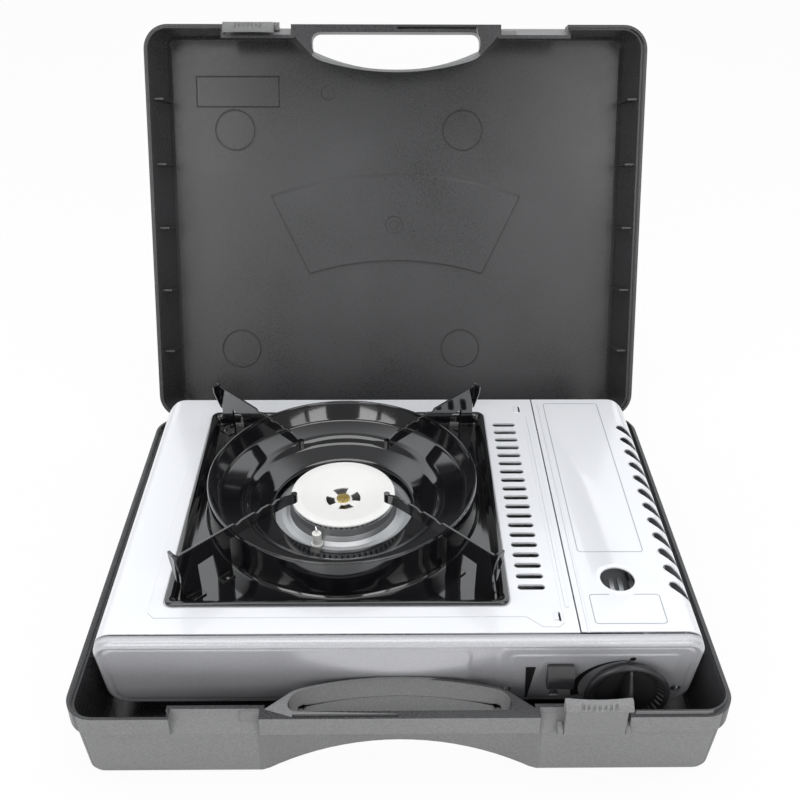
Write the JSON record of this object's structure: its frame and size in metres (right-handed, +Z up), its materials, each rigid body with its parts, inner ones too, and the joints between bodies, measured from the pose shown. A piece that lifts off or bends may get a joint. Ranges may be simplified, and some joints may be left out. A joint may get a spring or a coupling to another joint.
{
  "type": "butane cassette stove",
  "caption": "Portable butane cassette stove with drip tray, pan supports and cartridge compartment, standing in its open moulded carry case.",
  "frame": {"origin": "centre of the case base's flat underside", "axes": "+Z up, +X to the right, the front faces -Y"},
  "size_m": [0.374, 0.4553, 0.3267],
  "materials": {
    "case_plastic": "moulded black polypropylene, fine grain",
    "latch_plastic": "dark grey moulded plastic",
    "white_enamel": "smooth white baked enamel on pressed steel",
    "silver_enamel": "light grey satin enamel on pressed steel",
    "black_enamel": "glossy black vitreous enamel",
    "galvanised_steel": "dull bare steel",
    "bright_steel": "bright plated steel",
    "cast_aluminium": "die-cast aluminium",
    "brass": "bare brass",
    "cream_enamel": "cream white enamel",
    "ceramic": "glazed white ceramic",
    "black_plastic": "smooth black plastic",
    "rubber": "black rubber",
    "lead_sleeve": "silicone sleeve"
  },
  "bodies": {
    "case": {"case_base": "case_plastic", "hinge_pins": "bright_steel", "base_latch_pin": "bright_steel"},
    "lid": {"case_lid": "case_plastic", "lid_latch_pin": "bright_steel"},
    "base_catch": {"base_latch": "latch_plastic"},
    "lid_catch": {"lid_latch": "latch_plastic"},
    "stove": {"body_shell": "white_enamel", "front_panel": "silver_enamel", "bottom_pan": "galvanised_steel", "pan_screws": "bright_steel", "rubber_feet": "rubber", "partition_wall": "galvanised_steel", "panel_screws": "bright_steel", "cover_hinge_pins": "bright_steel", "cartridge_cradle": "galvanised_steel", "cartridge_guide": "galvanised_steel", "regulator_body": "cast_aluminium", "regulator_inlet": "brass", "piezo_igniter": "black_plastic", "gas_pipe": "galvanised_steel", "injector": "brass", "mixing_tube": "galvanised_steel", "burner_body": "cast_aluminium", "burner_bracket": "galvanised_steel", "spill_flange": "galvanised_steel", "port_ring": "galvanised_steel", "burner_cap": "cream_enamel", "burner_screw": "brass", "electrode_ceramic": "ceramic", "electrode_wire": "bright_steel", "ignition_lead": "lead_sleeve"},
    "knob": {"control_knob": "black_plastic", "control_shaft": "bright_steel"},
    "lever": {"cartridge_lever": "black_plastic", "lever_link": "galvanised_steel"},
    "lock": {"lock_slide": "galvanised_steel"},
    "cover": {"cartridge_cover": "white_enamel"},
    "tray": {"drip_tray": "black_enamel", "support_front_left": "black_enamel", "support_front_right": "black_enamel", "support_rear_left": "black_enamel", "support_rear_right": "black_enamel", "support_rivets": "black_enamel"}
  },
  "joints": [
    {"name": "lid_hinge", "type": "hinge", "parent": "case", "child": "lid", "pos_m": [0, 0.1485, 0.046], "axis": [-1, 0, 0], "range_deg": [-84, 0]},
    {"name": "base_latch_hinge", "type": "hinge", "parent": "case", "child": "base_catch", "pos_m": [0.1075, -0.1488, 0.0365], "axis": [1, 0, 0], "range_deg": [0, 35]},
    {"name": "lid_latch_hinge", "type": "hinge", "parent": "lid", "child": "lid_catch", "pos_m": [-0.1075, 0.26678, 0.31893], "axis": [-1, 0, 0], "range_deg": [0, 55]},
    {"name": "stove_lift", "type": "slide", "parent": "case", "child": "stove", "axis": [0, 0, 1], "range_m": [0, 0.15]},
    {"name": "tray_lift", "type": "slide", "parent": "stove", "child": "tray", "axis": [0, 0, 1], "range_m": [0, 0.08]},
    {"name": "cover_hinge", "type": "hinge", "parent": "stove", "child": "cover", "pos_m": [0.1685, 0, 0.056], "axis": [0, 1, 0], "range_deg": [0, 80]},
    {"name": "knob_turn", "type": "hinge", "parent": "stove", "child": "knob", "pos_m": [0.1295, 0, 0.0395], "axis": [0, -1, 0], "range_deg": [0, 120]},
    {"name": "lever_slide", "type": "slide", "parent": "stove", "child": "lever", "axis": [0, 0, -1], "range_m": [0, 0.013]},
    {"name": "lock_travel", "type": "slide", "parent": "stove", "child": "lock", "axis": [0, -1, 0], "range_m": [0, 0.004]}
  ],
  "couplings": [
    {"joint": "lock_travel", "follows": "lever_slide", "ratio": 0.30769}
  ]
}
